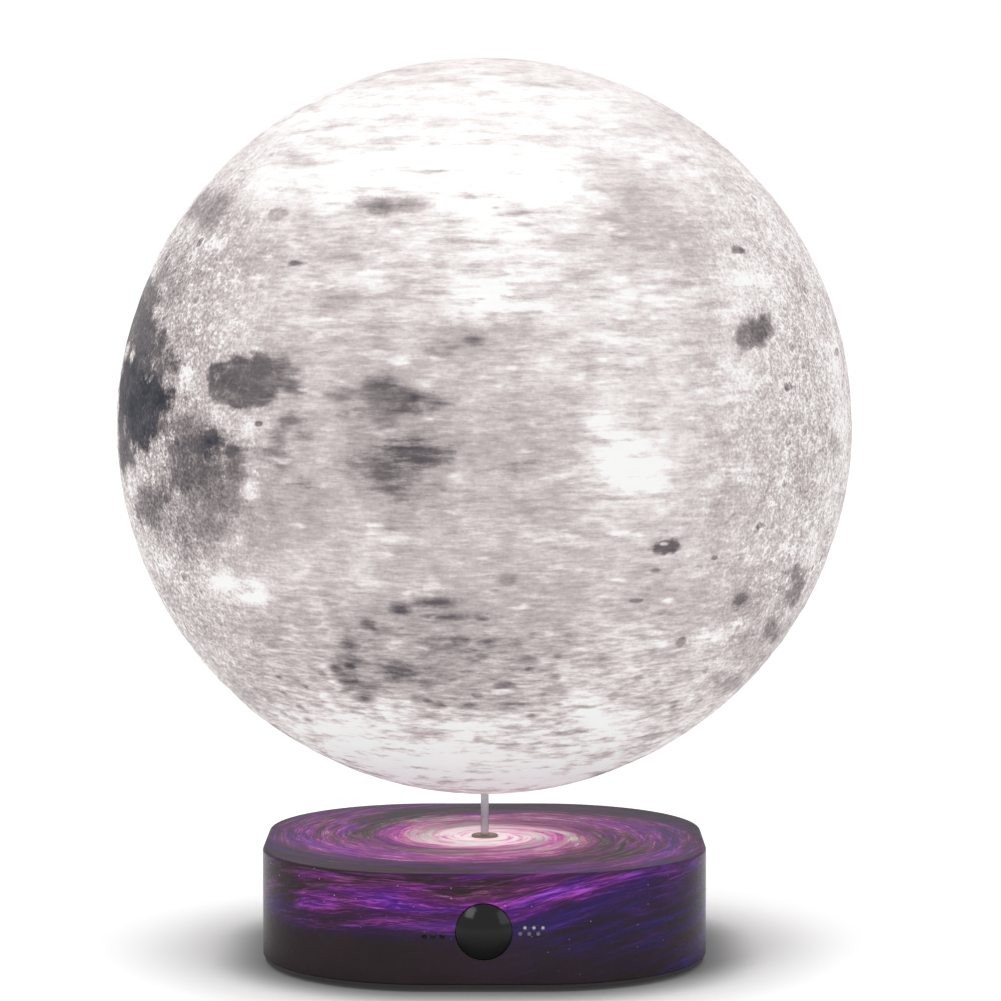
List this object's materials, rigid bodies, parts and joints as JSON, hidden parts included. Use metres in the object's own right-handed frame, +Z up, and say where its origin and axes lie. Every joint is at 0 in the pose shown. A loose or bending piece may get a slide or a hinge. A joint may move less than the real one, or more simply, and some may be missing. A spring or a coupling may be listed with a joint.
{
  "type": "moon lamp",
  "caption": "Turning moon lamp: a printed moon shell with its light inside, on a slim motor-driven spindle over a low rounded square base with a push button.",
  "frame": {"origin": "on the table below the spindle, at the centre of the base's underside", "axes": "+Z up along the spindle, the button's side faces -Y, +X to the right of it, the power inlet faces +Y"},
  "size_m": [0.18, 0.18, 0.2196],
  "materials": {
    "moon_print": "printed, fine level layers, translucent",
    "cap_print": "printed, fine level layers",
    "base_gloss": "polished dark lacquer with a coloured swirl",
    "base_matt": "fine moulded grain",
    "button_gloss": "polished",
    "clear_dot": "clear, polished",
    "foot_rubber": "matt",
    "spindle_steel": "ground",
    "brass": "turned",
    "bush_bronze": "turned, oiled",
    "screw_steel": "zinc plated",
    "motor_can": "drawn, plated",
    "inlet_shell": "plated",
    "ballast": "sawn, oiled",
    "gear_nylon": "moulded, satin",
    "inner_plastic": "moulded",
    "white_plastic": "moulded",
    "insulator": "machined",
    "opal": "opal, satin",
    "board": "solder mask",
    "chip": "moulded",
    "led": "clear over yellow",
    "lead": "insulated"
  },
  "bodies": {
    "base": {"ballast_plate": "ballast", "base_housing": "base_gloss", "board_components": "chip", "board_screws": "screw_steel", "bottom_plate": "base_matt", "brush_carrier": "insulator", "brush_leads": "lead", "chassis": "inner_plastic", "chassis_screws": "screw_steel", "end_brush": "brass", "gear_motor": "motor_can", "housing_screws": "screw_steel", "idler_pin": "spindle_steel", "indicator_leds": "led", "inlet_tongue": "inner_plastic", "light_pipe": "clear_dot", "lower_bush": "bush_bronze", "main_board": "board", "microphone": "motor_can", "microphone_gasket": "foot_rubber", "motor_leads": "lead", "motor_screws": "screw_steel", "panel_board": "board", "panel_leads": "lead", "panel_screws": "screw_steel", "power_inlet": "inlet_shell", "rubber_feet": "foot_rubber", "side_brush": "brass", "tact_switch": "inner_plastic", "thrust_washer": "insulator", "top_bush": "bush_bronze"},
    "spindle": {"spindle_tube": "spindle_steel", "spindle_insulator": "insulator", "spindle_core": "spindle_steel", "spindle_collar": "brass", "spindle_gear": "gear_nylon", "slip_ring": "brass"},
    "moon": {"moon_shell": "moon_print", "bottom_cap": "cap_print", "socket_sleeve": "brass", "tip_contact": "brass", "light_post": "white_plastic", "led_board": "board", "led_chips": "led", "diffuser_dome": "opal", "post_screws": "screw_steel", "led_screws": "screw_steel", "led_leads": "lead"},
    "idler": {"idler_gear": "gear_nylon"},
    "motor_rotor": {"motor_pinion": "brass", "motor_shaft": "spindle_steel"},
    "button": {"button_cap": "button_gloss", "switch_plunger": "inner_plastic"}
  },
  "joints": [
    {"name": "spindle_turn", "type": "hinge", "parent": "base", "child": "spindle", "pos_m": [0, 0, 0], "axis": [0, 0, 1], "continuous": true},
    {"name": "moon_lift", "type": "slide", "parent": "spindle", "child": "moon", "axis": [0, 0, 1], "range_m": [0, 0.04]},
    {"name": "idler_turn", "type": "hinge", "parent": "base", "child": "idler", "pos_m": [0.024, 0, 0], "axis": [0, 0, 1], "continuous": true},
    {"name": "motor_turn", "type": "hinge", "parent": "base", "child": "motor_rotor", "pos_m": [0.01743, -0.01804, 0], "axis": [0, 0, 1], "continuous": true},
    {"name": "button_press", "type": "slide", "parent": "base", "child": "button", "axis": [0, 1, 0], "range_m": [0, 0.0008], "stiffness_N_per_m": 1500, "springref_m": -0.0002}
  ],
  "couplings": [
    {"joint": "idler_turn", "follows": "spindle_turn", "ratio": -4},
    {"joint": "motor_turn", "follows": "spindle_turn", "ratio": 12}
  ]
}
